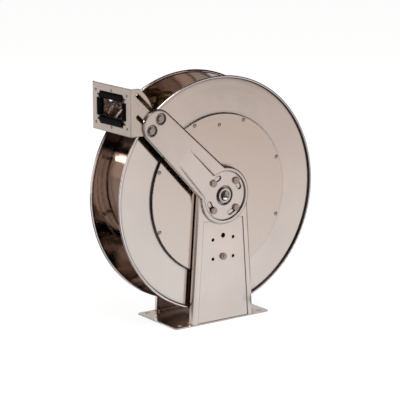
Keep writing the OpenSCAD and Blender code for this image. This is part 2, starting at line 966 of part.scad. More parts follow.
module disc() {
  bead_r = disc_d / 2 - rim_d / 2;
  difference() {
    union() {
      turned()
        polygon([
          [disc_hole_r, plateau_o], [plateau_r, plateau_o], [plateau_r + step_run, face_o],
          [bead_r, face_o], [bead_r, face_o - disc_t],
          [plateau_r + step_run - step_shift, face_o - disc_t],
          [plateau_r - step_shift, plateau_in], [disc_hole_r, plateau_in]
        ]);
      turned()
        translate([bead_r, rim_o])
          circle(d = rim_d, $fn = smooth);
    }
    at_disc_bolts()
      rod_y(disc_bolt_d / 2 + 0.2, plateau_in - 3, disc_t + 6);
    at_hub_screws()
      rod_y(hub_screw_d / 2 + 0.2, plateau_in - 3, disc_t + 6);
  }
}

module at_disc_bolts() {
  for (k = [0 : disc_bolts_n - 1])
    round_axle(disc_bolt_r, (k + 0.5) * 360 / disc_bolts_n)
      children();
}

module at_hub_screws() {
  for (k = [0 : hub_screws_n - 1])
    round_axle(hub_screw_r, (k + 0.5) * 360 / hub_screws_n)
      children();
}

module front_disc() {
  color(steel)
    difference() {
      front()
        disc();
      round_axle(riser_clip_z, 90)
        rod_y(disc_bolt_d / 2 + 0.2, -plateau_o - 1, disc_t + 2);
    }
}

module rear_disc() {
  color(steel)
    difference() {
      disc();
      at_case_rivets()
        rod_y(2.2, plateau_in - 1, disc_t + 2);
    }
}

module drum() {
  color(steel)
    difference() {
      turned()
        translate([drum_d / 2 - drum_t, -plateau_in])
          square([drum_t, 2 * plateau_in]);
      translate([0, -swivel_y, axle_h + drum_d / 2 - 10])
        cylinder(d = elbow_d + 0.6, h = 20, $fn = smooth);
    }
}

// Flat rings welded round the drum's ends, through which the discs are bolted on
module drum_rings() {
  ring_r = plateau_r - step_shift - 1.2;
  color(steel)
    both_sides()
      difference() {
        turned()
          translate([drum_d / 2, plateau_in - lip_t])
            square([ring_r - drum_d / 2, lip_t]);
        at_disc_bolts()
          rod_y(disc_bolt_d / 2 + 0.2, plateau_in - lip_t - 1, lip_t + 2);
      }
}

module disc_bolts() {
  reach = plateau_o - plateau_in + lip_t + disc_nut_h;
  color(zinc)
    both_sides()
      at_disc_bolts() {
        shank_y(disc_bolt_d / 2, plateau_o - reach, reach + 0.5);
        turned_head(4.4);
      }
}

// A low round head that stands on the outside of a disc
module turned_head(r) {
  translate([0, plateau_o, 0])
    rotate([-90, 0, 0])
      rotate_extrude($fn = smooth)
        polygon([[0, 0], [r, 0], [r, 0.8], [r * 0.8, 1.9], [r * 0.45, low_head_h], [0, low_head_h]]);
}

module disc_nuts() {
  color(zinc)
    both_sides()
      at_disc_bolts()
        difference() {
          hex_y(disc_nut_af, plateau_in - lip_t - disc_nut_h, disc_nut_h, nut = true);
          rod_y(disc_bolt_d / 2 + run_fit, plateau_in - lip_t - disc_nut_h - 1, disc_nut_h + 2);
        }
}

module hub() {
  difference() {
    turned()
      union() {
        translate([bush_d / 2, plateau_in - hub_len])
          square([hub_boss_r - bush_d / 2, hub_len]);
        translate([bush_d / 2, plateau_in - hub_flange_t])
          square([hub_flange_d / 2 - bush_d / 2, hub_flange_t]);
      }
    at_hub_screws()
      rod_y(hub_screw_d / 2 + run_fit, plateau_in - hub_len, hub_len + 2);
  }
}

module front_hub() {
  color(dark_steel)
    front()
      hub();
}

module rear_hub() {
  color(dark_steel)
    hub();
}

module bush() {
  turned()
    union() {
      translate([axle_r + run_fit, plateau_in - hub_len])
        square([bush_d / 2 - axle_r - run_fit, hub_len + 1]);
      translate([axle_r + run_fit, plateau_in])
        square([bush_flange_r - axle_r - run_fit, bush_flange_t]);
    }
}

module front_bush() {
  color(bronze)
    front()
      bush();
}

module rear_bush() {
  color(bronze)
    bush();
}

module hub_screws() {
  reach = disc_t + hub_flange_t - 0.5;
  color(zinc) {
    at_hub_screws() {
      rod_y(hub_screw_d / 2, plateau_o - reach, reach + 0.5);
      turned_head(5);
    }
    front()
      at_hub_screws() {
        rod_y(hub_screw_d / 2, plateau_o - reach, reach + ratchet_t + 0.5);
        translate([0, ratchet_t, 0])
          turned_head(5);
      }
  }
}

// ---- ratchet latch ----

// The locked nose's distance from the axle, which sets the pawl's length and its leans.
// Pulling the hose lifts the nose up a gap's ramp. Rewinding drives it towards upright,
// where the pawl is too long to pass, so that it holds the spool as a strut.
nose_r_at = ratchet_d / 2 - pawl_bite + pawl_nose_r;
pawl_len = sqrt(
  pow(pawl_drop, 2) + pow(nose_r_at, 2) - 2 * pawl_drop * nose_r_at * cos(pawl_side)
);
pawl_lock_lean = asin(nose_r_at * sin(pawl_side) / pawl_len);
pawl_rest_lean = pawl_lock_lean + pawl_swing;
tooth_start = -90 + pawl_side + tooth_lead;

// The gap before a tooth: its steep side, and the ramp that falls away from it
module tooth_gap() {
  root = ratchet_d / 2 - tooth_depth;
  past = ratchet_d / 2 + 3;
  polygon([
    [root, 0],
    [past * cos(tooth_sweep), -past * sin(tooth_sweep)],
    [past * cos(tooth_sweep / 2), -past * sin(tooth_sweep / 2)],
    [past, 0]
  ]);
}

module ratchet_wheel() {
  inner_r = disc_hole_r + 6;
  color(dark_steel)
    front()
      difference() {
        slab(plateau_o, ratchet_t)
          translate([0, axle_h])
            difference() {
              circle(r = ratchet_d / 2, $fn = fine);
              circle(r = inner_r, $fn = fine);
              for (k = [0 : teeth_n - 1])
                rotate(tooth_start + k * 360 / teeth_n)
                  tooth_gap();
            }
        at_hub_screws()
          rod_y(hub_screw_d / 2 + run_fit, plateau_o - 1, ratchet_t + 2);
      }
}

// Puts a piece drawn with the pawl upright at the pivot, leaning as it rests
module at_pawl(lean) {
  round_axle(pawl_drop, 270)
    rotate([0, lean, 0])
      children();
}

module latch_pawl() {
  blade = 5;
  color(dark_steel)
    front()
      at_pawl(pawl_rest_lean)
        difference() {
          union() {
            slab(pawl_o, pawl_t)
              union() {
                polygon([
                  [-pawl_boss_r, 0], [pawl_boss_r, 0], [blade + 5, 20], [blade + 5, 26],
                  [blade, 32], [pawl_nose_r * 0.8, pawl_len], [-pawl_nose_r * 0.8, pawl_len]
                ]);
                translate([0, pawl_len])
                  circle(r = pawl_nose_r, $fn = smooth);
                circle(r = pawl_boss_r, $fn = smooth);
              }
            rod_y(pawl_boss_r - 1, pawl_o, pedestal_in - panel_depth - pass_gap - pawl_o);
            translate([blade - 1, ratchet_o - 0.1, 20])
              cube([coil_r - spring_wire / 2 - 0.15 - blade + 1, 3, 6]);
          }
          rod_y(pawl_pin_d / 2 + run_fit, pawl_o - 1, 20);
        }
}

module latch_bolt() {
  head_h = 1;
  color(zinc)
    front()
      round_axle(pawl_drop, 270) {
        rod_y(pawl_pin_d / 2, pawl_o - 0.5, frame_o - panel_depth + hex_h + 2 - pawl_o);
        rod_y(pawl_pin_d / 2 + 3, pawl_o - pass_gap - head_h, head_h);
        rod_y(pawl_pin_d / 2, pawl_o - pass_gap - head_h, 2);
      }
}

module latch_nut() {
  color(zinc)
    front()
      round_axle(pawl_drop, 270)
        difference() {
          hex_y(hex_af, frame_o - panel_depth, hex_h, nut = true);
          rod_y(pawl_pin_d / 2 + run_fit, frame_o - panel_depth - 1, hex_h + 2);
        }
}

// Centre line of the pawl's torsion spring: a leg, three turns and a second leg
spring_wire = 1.2;
coil_r = pawl_boss_r - 1 + 0.4 + spring_wire / 2;
coil_turns = 3;
coil_steps = 16;
coil_pitch = 1.6;
coil_start = ratchet_o + 1.2;
coil_end = coil_start + coil_pitch * coil_turns;
coil_path = concat(
  [[coil_r, 24, coil_start], [coil_r, 12, coil_start]],
  [
    for (k = [0 : coil_turns * coil_steps])
      let (a = -k * 360 / coil_steps)
        [coil_r * cos(a), coil_r * sin(a), coil_start + coil_pitch * k / coil_steps]
  ],
  [[coil_r, 12, coil_end], [coil_r - 6, 22, coil_end]]
);

function unit(v) = v / norm(v);
function path_way(path, k) =
  unit(path[min(k + 1, len(path) - 1)] - path[max(k - 1, 0)]);
// Points of a ring of sides round the path's point k
function wire_ring(path, k, r, sides) =
  let (way = path_way(path, k), side = unit(cross(way, [0.05, 0.03, 1])), up = cross(side, way))
  [for (j = [0 : sides - 1]) path[k] + r * (cos(j * 360 / sides) * side + sin(j * 360 / sides) * up)];

module wire(path, r, sides) {
  n = len(path);
  points = [for (k = [0 : n - 1]) each wire_ring(path, k, r, sides)];
  walls = [
    for (k = [0 : n - 2], j = [0 : sides - 1])
      let (a = k * sides + j, b = k * sides + (j + 1) % sides)
        each [[a, b, b + sides], [a, b + sides, a + sides]]
  ];
  start = [[for (j = [0 : sides - 1]) sides - 1 - j]];
  end = [[for (j = [0 : sides - 1]) (n - 1) * sides + j]];
  polyhedron(points = points, faces = concat(walls, start, end));
}

module latch_spring() {
  color(spring_blue)
    front()
      at_pawl(pawl_rest_lean)
        mirror([0, 1, 0])
          rotate([90, 0, 0])
            wire(coil_path, spring_wire / 2, 6);
}

// ---- water way ----

module swivel_body() {
  color(bronze)
    difference() {
      union() {
        turned()
          difference() {
            translate([axle_r + run_fit, -swivel_y - swivel_w / 2])
              square([swivel_d / 2 - axle_r - run_fit, swivel_w]);
            translate([axle_r - 1, -swivel_y - 5])
              square([6, 10]);
            for (y = seal_places)
              translate([axle_r - 1, y - seal_room / 2])
                square([4.6, seal_room]);
          }
        translate([0, -swivel_y, axle_h + swivel_d / 2 - 3])
          cylinder(d = riser_d + 8, h = 11, $fn = smooth);
      }
      translate([0, -swivel_y, axle_h + axle_r + 3])
        cylinder(d = riser_d - 5, h = 20, $fn = smooth);
      translate([0, -swivel_y, axle_h + swivel_d / 2 - 2])
        cylinder(d = riser_d + 0.1, h = 20, $fn = smooth);
    }
}

module swivel_seals() {
  color(black)
    for (y = seal_places)
      turned()
        translate([axle_r + run_fit + seal_d / 2, y])
          circle(d = seal_d, $fn = smooth);
}

module swivel_rings() {
  color(spring_blue)
    for (y = ring_places)
      turned()
        translate([axle_r - ring_depth + 0.1, y - ring_t / 2])
          square([4, ring_t]);
}

module riser_pipe() {
  foot = swivel_d / 2 - 2;
  color(zinc)
    translate([0, -swivel_y, axle_h + foot])
      difference() {
        cylinder(d = riser_d, h = elbow_foot + elbow_seat - foot, $fn = smooth);
        translate([0, 0, -1])
          cylinder(d = riser_d - 5, h = drum_d, $fn = smooth);
      }
}

module outlet_elbow() {
  way_d = riser_d - 5;
  color(bronze)
    translate([0, -swivel_y, axle_h])
      difference() {
        union() {
          translate([0, 0, elbow_foot])
            cylinder(d = elbow_d, h = elbow_z - elbow_foot, $fn = smooth);
          translate([0, 0, elbow_z])
            sphere(d = elbow_d, $fn = smooth);
          translate([-elbow_reach, 0, elbow_z])
            rotate([0, 90, 0])
              cylinder(d = elbow_d, h = elbow_reach, $fn = smooth);
        }
        translate([0, 0, elbow_foot - 1])
          cylinder(d = riser_d + 0.1, h = elbow_seat + 1, $fn = smooth);
        translate([0, 0, elbow_foot])
          cylinder(d = way_d, h = elbow_z - elbow_foot, $fn = smooth);
        translate([-elbow_reach - 1, 0, elbow_z])
          rotate([0, 90, 0])
            cylinder(d = outlet_d, h = outlet_depth + 1, $fn = smooth);
        translate([-elbow_reach + 4, 0, elbow_z])
          rotate([0, 90, 0])
            cylinder(d = way_d, h = elbow_reach - 4, $fn = smooth);
      }
}

module outlet_locknut() {
  h = 6;
  color(bronze)
    translate([0, -swivel_y, axle_h + drum_d / 2 - drum_t - h - 1.6])
      difference() {
        cylinder(r = elbow_d * 0.72, h = h, $fn = 6);
        translate([0, 0, -1])
          cylinder(d = elbow_d + 0.1, h = h + 2, $fn = smooth);
      }
}

module riser_bracket() {
  half = 14;
  t = 3;
  shelf_z = riser_clip_z - 21;
  color(steel)
    difference() {
      union() {
        translate([-half, -plateau_in, axle_h + shelf_z])
          cube([2 * half, t, 30]);
        translate([-half, -plateau_in, axle_h + shelf_z - t])
          cube([2 * half, plateau_in - swivel_y + half, t]);
      }
      translate([0, -swivel_y, axle_h + shelf_z - t - 1])
        cylinder(d = riser_d + 0.2, h = t + 2, $fn = smooth);
      round_axle(riser_clip_z, 90)
        rod_y(disc_bolt_d / 2 + 0.2, -plateau_in - 1, t + 2);
    }
}

module riser_screw() {
  reach = disc_t + 3 + disc_nut_h;
  color(zinc)
    front()
      round_axle(riser_clip_z, 90) {
        rod_y(disc_bolt_d / 2, plateau_o - reach, reach + 0.5);
        turned_head(4);
        hex_y(disc_nut_af, plateau_o - reach, disc_nut_h, nut = true);
      }
}

// ---- rewind spring ----

module at_case_rivets() {
  for (k = [0 : 5])
    round_axle(case_d / 2 + 6, 15 + k * 60)
      children();
}

module spring_case() {
  rim_r = case_d / 2 + 11;
  color(dark_steel)
    difference() {
      turned()
        union() {
          translate([axle_r + 3, case_front])
            square([case_d / 2 - axle_r - 3, case_t]);
          translate([case_d / 2 - case_t, case_front])
            square([case_t, case_depth + case_t]);
          translate([case_d / 2 - case_t, plateau_in - case_t])
            square([rim_r - case_d / 2 + case_t, case_t]);
        }
      at_case_rivets()
        rod_y(2.2, plateau_in - case_t - 1, case_t + 2);
    }
}

module case_rivets() {
  color(zinc)
    at_case_rivets() {
      rod_y(2.1, plateau_in - case_t - 1, case_t + disc_t + 1.5);
      rod_y(3.6, plateau_o, 1.2);
      rod_y(3.6, plateau_in - case_t - 1.2, 1.2);
    }
}

// The strip winds out from the arbor to the wall of its case
strip_start = arbor_d / 2 + 0.4 + strip_t / 2;
strip_end = case_d / 2 - case_t - 0.4 - strip_t / 2;
strip_steps = 24;
function strip_r(k) = strip_start + (strip_end - strip_start) * k / (spring_turns * strip_steps);
function strip_point(k, out) =
  let (a = k * 360 / strip_steps, r = strip_r(k) + out) [r * cos(a), r * sin(a)];

module power_spring() {
  last = spring_turns * strip_steps;
  color(spring_blue)
    slab(case_front + case_t + 2, strip_w)
      translate([0, axle_h])
        polygon(concat(
          [for (k = [0 : last]) strip_point(k, strip_t / 2)],
          [for (k = [last : -1 : 0]) strip_point(k, -strip_t / 2)]
        ));
}

module spring_arbor() {
  slot = 3;
  color(dark_steel)
    difference() {
      turned()
        translate([axle_r + run_fit, case_front + case_t + 1])
          square([arbor_d / 2 - axle_r - run_fit, strip_w + 2]);
      translate([axle_r + 2, case_front + case_t, axle_h - slot / 2])
        cube([arbor_d, strip_w + 4, slot]);
    }
}

// ---- assembly ----

base_plate();
front_pedestal();
rear_pedestal();
axle();
axle_flanges();
thrust_spacers();
front_guide_arm();
rear_guide_arm();
hub_bolts();
guide_bracket();
arm_end_bolts();
arm_end_nuts();
roller_frame();
roller_pins();
guide_screws();
top_roller();
bottom_roller();
front_side_roller();
rear_side_roller();
front_disc();
rear_disc();
drum();
drum_rings();
front_hub();
rear_hub();
front_bush();
rear_bush();
disc_bolts();
disc_nuts();
hub_screws();
ratchet_wheel();
latch_pawl();
latch_bolt();
latch_nut();
latch_spring();
swivel_body();
swivel_seals();
swivel_rings();
riser_pipe();
riser_bracket();
riser_screw();
outlet_elbow();
outlet_locknut();
spring_case();
case_rivets();
power_spring();
spring_arbor();
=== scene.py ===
import json
import math

import bpy
from mathutils import Matrix, Vector


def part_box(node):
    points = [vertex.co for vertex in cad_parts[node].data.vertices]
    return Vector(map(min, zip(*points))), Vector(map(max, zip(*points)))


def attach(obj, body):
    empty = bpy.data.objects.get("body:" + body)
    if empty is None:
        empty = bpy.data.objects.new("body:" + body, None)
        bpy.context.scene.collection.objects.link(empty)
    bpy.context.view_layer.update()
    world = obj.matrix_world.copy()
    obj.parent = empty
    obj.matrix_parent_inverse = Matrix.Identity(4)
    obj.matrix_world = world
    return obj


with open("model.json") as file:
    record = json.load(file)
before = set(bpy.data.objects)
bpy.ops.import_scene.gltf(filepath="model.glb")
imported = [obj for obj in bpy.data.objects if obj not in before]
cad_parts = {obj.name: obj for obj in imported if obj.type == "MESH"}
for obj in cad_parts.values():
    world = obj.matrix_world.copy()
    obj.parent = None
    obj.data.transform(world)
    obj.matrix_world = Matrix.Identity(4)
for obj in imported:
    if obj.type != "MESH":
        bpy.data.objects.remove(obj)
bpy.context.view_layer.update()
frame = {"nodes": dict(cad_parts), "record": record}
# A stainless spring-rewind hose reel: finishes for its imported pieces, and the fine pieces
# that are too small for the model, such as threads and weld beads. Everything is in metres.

nodes = frame["nodes"]


def middle(node):
    """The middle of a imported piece's box."""
    low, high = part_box(node)
    return (Vector(low) + Vector(high)) / 2


axle = middle("axle")


# ---- shader expressions ----


class Value:
    """A shader socket. Python's operators on it add Math nodes."""

    def __init__(self, graph, socket):
        self.graph = graph
        self.socket = socket

    def maths(self, operation, first, second=0.0, clamp=False):
        settings = {"operation": operation, "use_clamp": clamp}
        return self.graph.node("ShaderNodeMath", 0, settings, {0: first, 1: second})

    def __add__(self, other):
        return self.maths("ADD", self, other)

    def __sub__(self, other):
        return self.maths("SUBTRACT", self, other)

    def __rsub__(self, other):
        return self.maths("SUBTRACT", other, self)

    def __mul__(self, other):
        return self.maths("MULTIPLY", self, other)

    def __abs__(self):
        return self.maths("ABSOLUTE", self)

    __radd__ = __add__
    __rmul__ = __mul__

    def most(self, other):
        """The larger of the two at each point."""
        return self.maths("MAXIMUM", self, other)

    def between(self, low, high):
        """0 at low and below, 1 at high and above, or the other way round."""
        return self.maths("MULTIPLY", self - low, 1 / (high - low), clamp=True)


class Graph:
    """The nodes of one material."""

    def __init__(self, name):
        self.material = bpy.data.materials.new(name)
        self.material.use_nodes = True
        self.tree = self.material.node_tree
        self.shader = self.tree.nodes["Principled BSDF"]

    def node(self, kind, output, settings=None, inputs=None):
        """Adds a node, sets it, links or fills its sockets and returns one of its outputs."""
        made = self.tree.nodes.new(kind)
        for name, setting in (settings or {}).items():
            setattr(made, name, setting)
        for name, given in (inputs or {}).items():
            self.feed(made.inputs[name], given)
        return Value(self, made.outputs[output])

    def feed(self, socket, given):
        if isinstance(given, Value):
            self.tree.links.new(given.socket, socket)
        else:
            socket.default_value = given

    # vectors

    def place(self):
        """Where the shaded point is on the reel."""
        return self.node("ShaderNodeTexCoord", "Object")

    def normal(self):
        return self.node("ShaderNodeNewGeometry", "Normal")

    def eased_normal(self, radius, samples=4):
        """The normal as it would be with the edges rounded off."""
        return self.node("ShaderNodeBevel", 0, {"samples": samples}, {"Radius": radius})

    def product(self, first, second):
        settings = {"operation": "MULTIPLY"}
        return self.node("ShaderNodeVectorMath", 0, settings, {0: first, 1: second})

    def dot(self, first, second):
        settings = {"operation": "DOT_PRODUCT"}
        return self.node("ShaderNodeVectorMath", "Value", settings, {0: first, 1: second})

    def length(self, vector):
        return self.node("ShaderNodeVectorMath", "Value", {"operation": "LENGTH"}, {0: vector})

    def part(self, axis, vector):
        """A vector's X, Y or Z."""
        return self.node("ShaderNodeSeparateXYZ", axis, None, {0: vector})

    # patterns

    def noise(self, scale, stretch=(1, 1, 1), turn=(0, 0, 0), detail=3.0):
        mapped = self.node(
            "ShaderNodeMapping", 0, None,
            {"Vector": self.place(), "Scale": stretch, "Rotation": turn},
        )
        return self.node(
            "ShaderNodeTexNoise", 0, None,
            {"Vector": mapped, "Scale": scale, "Detail": detail},
        )

    def from_axle(self):
        """Distance from the axle's centre line."""
        offset = self.node(
            "ShaderNodeVectorMath", 0, {"operation": "SUBTRACT"},
            {0: self.place(), 1: tuple(axle)},
        )
        return self.length(self.product(offset, (1, 0, 1)))

    def inside(self):
        """1 on faces that look towards the middle of the spool and 0 on the others."""
        depth = self.part("Y", self.place())
        facing = self.part("Y", self.normal())
        return (depth * facing).between(0.0, -0.01)

    def rings(self, per_metre):
        """Fine lines round the axle, as a lathe leaves them."""
        return self.node(
            "ShaderNodeTexNoise", 0, {"noise_dimensions": "1D"},
            {"W": self.from_axle(), "Scale": per_metre, "Detail": 2.0},
        )

    def scratches(self, scale, turn):
        """Thin stray lines, 1 on a line and 0 beside it."""
        offset = self.noise(scale, stretch=(1, 1, 0.05), turn=turn, detail=1.0) - 0.5
        return 1 - (offset * offset).between(0.0, 0.00006)

    def crevice(self, reach):
        """1 in the open and towards 0 in corners and narrow gaps."""
        return self.node("ShaderNodeAmbientOcclusion", "AO", {"samples": 6}, {"Distance": reach})

    def crease(self, radius):
        """1 on a sharp bend and 0 on the flats beside it."""
        along = self.dot(self.eased_normal(radius), self.normal())
        return (1 - along).between(0.002, 0.03)

    def ledge(self, radius, way):
        """1 on the bend beside a narrow face that looks the given way, 0 on the flats."""
        facing = self.dot(self.eased_normal(radius), way)
        return facing.between(0.08, 0.24) * facing.between(0.99, 0.9)

    # results

    def blend(self, amount, first, second):
        """From the first colour to the second as amount goes from 0 to 1."""
        first, second = (
            colour + (1,) if isinstance(colour, tuple) else colour
            for colour in (first, second)
        )
        return self.node(
            "ShaderNodeMix", 2, {"data_type": "RGBA"}, {0: amount, 6: first, 7: second}
        )

    def finish(self, colour, roughness, height, edge=0.0, metallic=1.0):
        """Joins the shader up. height is in metres, and edge is the radius of broken edges."""
        given = {"Strength": 1.0, "Distance": 1.0, "Height": height}
        if edge:
            given["Normal"] = self.eased_normal(edge, samples=3)
        bump = self.node("ShaderNodeBump", 0, None, given)
        self.feed(self.shader.inputs["Base Color"], colour)
        self.feed(self.shader.inputs["Roughness"], roughness)
        self.feed(self.shader.inputs["Normal"], bump)
        self.shader.inputs["Metallic"].default_value = metallic
        return self.material


# ---- finishes ----

BRIGHT = (0.64, 0.55, 0.50)
POLISHED = (0.66, 0.56, 0.53)
# INNER, a little lighter, is for the sheet's faces inside the spool: painted light that lifts
# their shade.
INNER = (0.66, 0.572, 0.522)
PRESSED = (0.59, 0.49, 0.435)
# The colour of painted shade, in corners, narrow gaps, bends and along shaded edges.
SHADE_TONE = (0.020, 0.010, 0.010)
WARMER = 0.9

ARM_LEAN = math.radians(44.2)
ARM_UPPER_EDGE = (0.66, 0, 0.75)
# The painted dark reflection along the arm's upper edge ends before it comes to the round hub
HUB_EDGE_SHADE_ENDS, ARM_EDGE_SHADE_STARTS = 0.06, 0.075

# The disc's rolled rim, the groove inside it, and its pressed middle with the step round it.
# The middle is given in shares of the radius where the rim starts.
RIM_ROLL = 0.0058
GROOVE_FLOOR, GROOVE_EDGE = 0.0009, 0.0016
PRESSED_STARTS, PRESSED_FULL = 0.71, 0.66
STEP_STARTS, STEP_FULL = 0.8, 0.78
STEP_LOWER_SIDE = (-0.94, 0, -0.34)


def cloudy(cloud, graph, tone):
    """A sheet's tone, a little darker in broad patches."""
    return graph.blend(cloud.between(0.3, 0.7), tone, tuple(part * WARMER for part in tone))


def rolled_stainless(
    name, stretch, turn=(0, 0, 0), gloss=0.1, lines=0.0, dark_edge_way=None, tone=BRIGHT
):
    """Bright stainless sheet with its rolling grain along one way.

    lines is how dark the painted shade lies along its pressed bends. If the way its upper
    edge looks is given, a painted dark reflection lies along that edge's bend.
    """
    g = Graph(name)
    grain = g.noise(900.0, stretch=stretch, turn=turn)
    cloud = g.noise(7.0, detail=4.0)
    smudge = g.noise(26.0, detail=5.0).between(0.5, 0.74)
    line = g.scratches(55.0, (0.3, 0.9, 0.2))
    # Corners and narrow gaps are darkened: painted shade.
    painted_shade = (1 - g.crevice(0.006).between(0.38, 0.8)) * 0.98
    # Sharp pressed bends are darkened in a line: painted shade.
    if lines:
        painted_shade = painted_shade.most(g.crease(0.003) * lines)
    # The bend of the upper edge that looks the given way is darkened: a painted dark reflection.
    if dark_edge_way:
        dust_and_edge_shade = g.ledge(0.006, dark_edge_way) * g.from_axle().between(HUB_EDGE_SHADE_ENDS, ARM_EDGE_SHADE_STARTS)
        painted_shade = painted_shade.most(dust_and_edge_shade * 0.95)
    colour = g.blend(painted_shade, cloudy(cloud, g, tone), SHADE_TONE)
    roughness = gloss + grain * 0.08 + smudge * 0.07 + line * 0.05 + painted_shade * 0.3
    height = cloud * 0.0003 + grain * 0.000003 - line * 0.000004
    return g.finish(colour, roughness, height, edge=0.0008)


def spun_stainless(name, gloss=0.09, rim=None, corner_shade=0.98, tone=BRIGHT):
    """The discs' sheet: rolled, then spun, with faint rings round the axle.

    rim is the radius from which the rolled edge is polished. A painted shade line lies in the
    groove there.
    """
    g = Graph(name)
    ring = g.rings(260.0)
    sweep = g.rings(22.0)
    grain = g.noise(700.0, stretch=(0.04, 1, 1))
    cloud = g.noise(5.0, detail=3.0)
    smudge = g.noise(19.0, detail=5.0).between(0.5, 0.75)
    line = g.scratches(40.0, (0.1, 0.5, 0.8))
    # Corners and narrow gaps are darkened: painted shade.
    painted_shade = (1 - g.crevice(0.009).between(0.42, 0.86)) * corner_shade
    sheet = cloudy(cloud, g, tone)
    if rim:
        inner, out = g.inside(), g.from_axle()
        pressed = out.between(rim * PRESSED_STARTS, rim * PRESSED_FULL)
        sheet = g.blend(pressed, sheet, PRESSED)
        # The faces inside the spool take the lighter INNER tone: painted light that lifts their
        # shade.
        sheet = g.blend(inner, sheet, INNER)
        sheet = g.blend(out.between(rim, rim + 0.001), sheet, POLISHED)
        # A dark line all round the groove inside the rolled rim: painted shade.
        groove = 1 - abs(out - rim).between(GROOVE_FLOOR, GROOVE_EDGE)
        # The side of the pressed middle's step that looks left and down is darkened: a painted
        # dark reflection.
        step = g.ledge(0.004, STEP_LOWER_SIDE) * out.between(rim * STEP_STARTS, rim * STEP_FULL)
        painted_shade = (painted_shade * (1 - inner * 0.75)).most(groove * 0.9).most(step * 0.96)
    colour = g.blend(painted_shade, sheet, SHADE_TONE)
    roughness = gloss + ring * 0.03 + grain * 0.03 + smudge * 0.04 + line * 0.04 + painted_shade * 0.3
    if rim:
        roughness = roughness * (1 - inner * 0.5)
    height = cloud * 0.0006 + sweep * 0.00012 + ring * 0.000004 + grain * 0.000002
    return g.finish(colour, roughness, height, edge=0.0006)


def turned_metal(name, light, dark, gloss=0.2, reach=0.012):
    """A lathe's finish, with rings round the axle and lines along it."""
    g = Graph(name)
    ring = g.rings(1400.0)
    along = g.noise(1100.0, stretch=(0.06, 1, 0.06))
    stain = g.noise(60.0, detail=5.0).between(0.45, 0.75)
    # Corners, narrow gaps and bores are darkened: painted shade.
    painted_shade = (1 - g.crevice(reach).between(0.15, 0.75)) * 0.93
    colour = g.blend(painted_shade, g.blend(stain, light, dark), SHADE_TONE)
    roughness = gloss + ring * 0.12 + stain * 0.1
    return g.finish(colour, roughness, ring * 0.000005 + along * 0.000003, edge=0.0005)


def bright_fastener(name, light, dark):
    """Cold-headed stainless, a little scuffed by the wrench."""
    g = Graph(name)
    mottle = g.noise(420.0, detail=4.0)
    scuff = g.noise(1500.0, stretch=(1, 0.2, 1)).between(0.56, 0.66)
    # Corners and narrow gaps round the heads are darkened: painted shade.
    painted_shade = (1 - g.crevice(0.004).between(0.3, 0.8)) * 0.9
    colour = g.blend(painted_shade, g.blend(mottle, light, dark), SHADE_TONE)
    roughness = 0.16 + mottle * 0.14 + scuff * 0.15
    return g.finish(colour, roughness, mottle * 0.00003 + scuff * 0.00001, edge=0.0006)


def dark_steel(name, light, dark):
    """Steel with an oil film that pools in patches, rubbed bright in thin lines."""
    g = Graph(name)
    scale = g.noise(180.0, detail=6.0)
    film = g.noise(34.0, detail=3.0).between(0.42, 0.62)
    rub = g.noise(700.0, stretch=(0.15, 1, 1)).between(0.6, 0.72)
    colour = g.blend(rub * 0.5, g.blend(film, light, dark), (0.5, 0.46, 0.42))
    roughness = 0.42 - film * 0.16 + scale * 0.14
    return g.finish(colour, roughness, scale * 0.00004, edge=0.0004)


def moulded_nylon(name, dark, dusted):
    """Black nylon: fine mould texture, dust in places and polish where the hose rubs."""
    g = Graph(name)
    texture = g.noise(1600.0, detail=2.0)
    dust_and_edge_shade = g.noise(48.0, detail=6.0).between(0.55, 0.85)
    polish = g.noise(90.0, stretch=(1, 0.15, 1)).between(0.48, 0.7)
    roughness = 0.44 + dust_and_edge_shade * 0.2 - polish * 0.14
    g.shader.inputs["Specular IOR Level"].default_value = 0.1
    g.shader.inputs["IOR"].default_value = 1.2
    colour = g.blend(dust_and_edge_shade * 0.2, dark, dusted)
    return g.finish(colour, roughness, texture * 0.00002, edge=0.0005, metallic=0.0)


def soft_rubber(name, dark, bloomed):
    """Seal rubber with a pale bloom in patches."""
    g = Graph(name)
    texture = g.noise(900.0, detail=3.0)
    bloom = g.noise(70.0, detail=5.0).between(0.5, 0.8)
    colour = g.blend(bloom * 0.5, dark, bloomed)
    return g.finish(colour, 0.6 + bloom * 0.2, texture * 0.00003, metallic=0.0)


disc_low, disc_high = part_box("front_disc")
rim_start = (disc_high[0] - disc_low[0]) / 2 - RIM_ROLL

upright_sheet = rolled_stainless(
    "upright_sheet", (1, 1, 0.03), lines=0.3, tone=(0.65, 0.55, 0.50)
)
# The base plate's sheet has a lighter tone than the upright ones: painted light on its top.
level_sheet = rolled_stainless(
    "level_sheet", (0.03, 1, 1), gloss=0.14, tone=(0.735, 0.635, 0.58)
)
arm_sheet = rolled_stainless(
    "arm_sheet", (0.03, 1, 1), turn=(0, -ARM_LEAN, 0), lines=0.95, dark_edge_way=ARM_UPPER_EDGE,
    tone=(0.65, 0.555, 0.51)
)
guide_sheet = rolled_stainless(
    "guide_sheet", (1, 0.03, 1), gloss=0.22, lines=0.8, tone=(0.63, 0.52, 0.455)
)
disc_sheet = spun_stainless("disc_sheet", rim=rim_start)
drum_sheet = spun_stainless("drum_sheet", gloss=0.045, corner_shade=0.25, tone=INNER)
turned_steel = turned_metal("turned_steel", (0.56, 0.52, 0.49), (0.36, 0.32, 0.29))
port_steel = turned_metal("port_steel", (0.56, 0.50, 0.47), (0.36, 0.30, 0.28), reach=0.018)
turned_brass = turned_metal("turned_brass", (0.60, 0.46, 0.26), (0.36, 0.26, 0.14))
turned_bronze = turned_metal("turned_bronze", (0.52, 0.34, 0.18), (0.3, 0.18, 0.09))
fastener_steel = bright_fastener("fastener_steel", (0.50, 0.395, 0.355), (0.20, 0.14, 0.12))
oiled_steel = dark_steel("oiled_steel", (0.14, 0.12, 0.11), (0.05, 0.042, 0.038))
